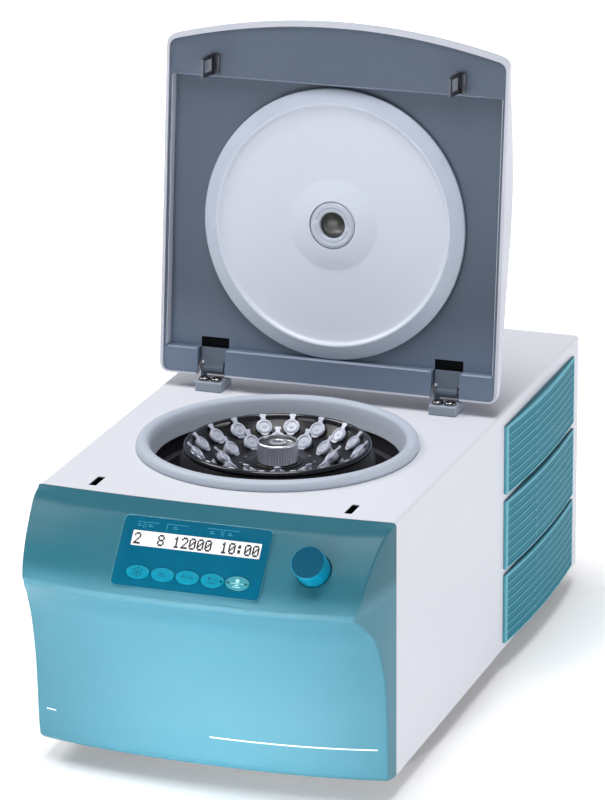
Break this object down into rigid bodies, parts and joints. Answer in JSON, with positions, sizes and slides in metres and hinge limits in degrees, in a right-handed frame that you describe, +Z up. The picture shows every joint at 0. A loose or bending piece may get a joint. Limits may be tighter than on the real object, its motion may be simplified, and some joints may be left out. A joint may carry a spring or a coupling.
{
  "type": "refrigerated microcentrifuge",
  "caption": "Benchtop refrigerated microcentrifuge with its lid open: white case, moulded teal front with sloped console, ring-sealed bowl, angle rotor and louvred side vents.",
  "frame": {"origin": "middle of the overall box in plan, on the plane the feet stand on, with the lid open as stored", "axes": "+Z up, -Y towards the operator (the console side), +X to the right seen from the front"},
  "size_m": [0.2936, 0.5621, 0.5181],
  "materials": {
    "case_white": "satin powder coat, lilac white",
    "lid_white": "smooth satin moulding, white",
    "shell_teal": "fine-textured moulding, teal",
    "panel_teal": "smooth membrane, deep teal",
    "lcd_white": "display window, white",
    "key_teal": "smooth key caps",
    "key_green": "smooth key cap, greener",
    "knob_teal": "satin knob, dark teal",
    "vent_teal": "satin louvred covers",
    "liner_slate": "fine-grained inner lid, slate grey",
    "disc_pale": "glossy pressure disc, pale lavender",
    "port_clear": "clear moulding",
    "seal_grey": "soft rubber, pale blue grey",
    "rubber_black": "dull black rubber",
    "bowl_dark": "dark coated bowl",
    "foam_dark": "moulded insulation",
    "rotor_black": "black anodised, polished flank",
    "nut_steel": "bright turned steel",
    "screw_chrome": "polished heads",
    "steel": "plain steel",
    "hinge_grey": "light grey coat",
    "motor_iron": "painted iron",
    "copper": "copper tube",
    "fin_aluminium": "plain fins",
    "board_green": "circuit board",
    "black_plastic": "plain black moulding"
  },
  "bodies": {
    "case": {"housing_case": "case_white", "rear_panel": "case_white", "front_shell": "shell_teal", "control_panel": "panel_teal", "lcd_display": "lcd_white", "vent_left_lower": "vent_teal", "vent_left_middle": "vent_teal", "vent_left_upper": "vent_teal", "vent_right_lower": "vent_teal", "vent_right_middle": "vent_teal", "vent_right_upper": "vent_teal", "bowl_seal": "seal_grey", "foot_front_left": "rubber_black", "foot_front_right": "rubber_black", "foot_rear_left": "rubber_black", "foot_rear_right": "rubber_black", "motor_damper": "rubber_black", "rotor_chamber": "bowl_dark", "chamber_insulation": "foam_dark", "hinge_screw_left_outer": "screw_chrome", "hinge_screw_left_inner": "screw_chrome", "hinge_screw_right_outer": "screw_chrome", "hinge_screw_right_inner": "screw_chrome", "base_tray": "steel", "lock_unit": "steel", "motor_mount_plate": "steel", "hinge_pin_left": "steel", "hinge_pin_right": "steel", "power_supply": "steel", "hinge_bracket_left": "hinge_grey", "hinge_bracket_right": "hinge_grey", "motor_housing": "motor_iron", "compressor": "motor_iron", "evaporator_coil": "copper", "refrigerant_pipe": "copper", "condenser": "fin_aluminium", "display_board": "board_green", "control_board": "board_green", "fan_shroud": "black_plastic", "power_inlet": "black_plastic"},
    "lid": {"lid_cover": "lid_white", "lid_liner": "liner_slate", "lid_disc": "disc_pale", "port_bezel": "port_clear", "latch_hook_left": "steel", "latch_hook_right": "steel", "hinge_arm_left": "hinge_grey", "hinge_arm_right": "hinge_grey"},
    "drive": {"drive_shaft": "steel"},
    "rotor": {"rotor": "rotor_black"},
    "nut": {"rotor_nut": "nut_steel"},
    "lock": {"lock_bar": "steel"},
    "knob": {"control_knob": "knob_teal"},
    "key_cooling": {"key_cooling": "key_teal"},
    "key_rcf": {"key_rcf": "key_teal"},
    "key_select": {"key_select": "key_teal"},
    "key_start": {"key_start": "key_teal"},
    "key_stop": {"key_stop": "key_green"},
    "rocker": {"power_rocker": "black_plastic"},
    "fan": {"condenser_fan": "black_plastic"}
  },
  "joints": [
    {"name": "lid_hinge", "type": "hinge", "parent": "case", "child": "lid", "pos_m": [0, 0.0544, 0.2328], "axis": [-1, 0, 0], "range_deg": [-95.9, 0]},
    {"name": "drive_spin", "type": "hinge", "parent": "case", "child": "drive", "pos_m": [0, -0.0709, 0.118], "axis": [0, 0, 1], "continuous": true},
    {"name": "rotor_lift", "type": "slide", "parent": "drive", "child": "rotor", "axis": [0, 0, 1], "range_m": [0, 0.09]},
    {"name": "nut_lift", "type": "slide", "parent": "rotor", "child": "nut", "axis": [0, 0, 1], "range_m": [0, 0.025]},
    {"name": "knob_turn", "type": "hinge", "parent": "case", "child": "knob", "pos_m": [0.0934, -0.2562, 0.1925], "axis": [0, -0.766, 0.6428], "continuous": true},
    {"name": "key_cooling_press", "type": "slide", "parent": "case", "child": "key_cooling", "axis": [0, 0.766, -0.6428], "range_m": [0, 0.0006], "stiffness_N_per_m": 1500, "springref_m": -0.0003},
    {"name": "key_rcf_press", "type": "slide", "parent": "case", "child": "key_rcf", "axis": [0, 0.766, -0.6428], "range_m": [0, 0.0006], "stiffness_N_per_m": 1500, "springref_m": -0.0003},
    {"name": "key_select_press", "type": "slide", "parent": "case", "child": "key_select", "axis": [0, 0.766, -0.6428], "range_m": [0, 0.0006], "stiffness_N_per_m": 1500, "springref_m": -0.0003},
    {"name": "key_start_press", "type": "slide", "parent": "case", "child": "key_start", "axis": [0, 0.766, -0.6428], "range_m": [0, 0.0006], "stiffness_N_per_m": 1500, "springref_m": -0.0003},
    {"name": "key_stop_press", "type": "slide", "parent": "case", "child": "key_stop", "axis": [0, 0.766, -0.6428], "range_m": [0, 0.0006], "stiffness_N_per_m": 1500, "springref_m": -0.0003},
    {"name": "rocker_tip", "type": "hinge", "parent": "case", "child": "rocker", "pos_m": [-0.0795, 0.2756, 0.055], "axis": [1, 0, 0], "range_deg": [0, 10]},
    {"name": "fan_spin", "type": "hinge", "parent": "case", "child": "fan", "pos_m": [0.085, 0.1656, 0.118], "axis": [1, 0, 0], "continuous": true},
    {"name": "lock_slide", "type": "slide", "parent": "case", "child": "lock", "axis": [-1, 0, 0], "range_m": [0, 0.007]}
  ]
}
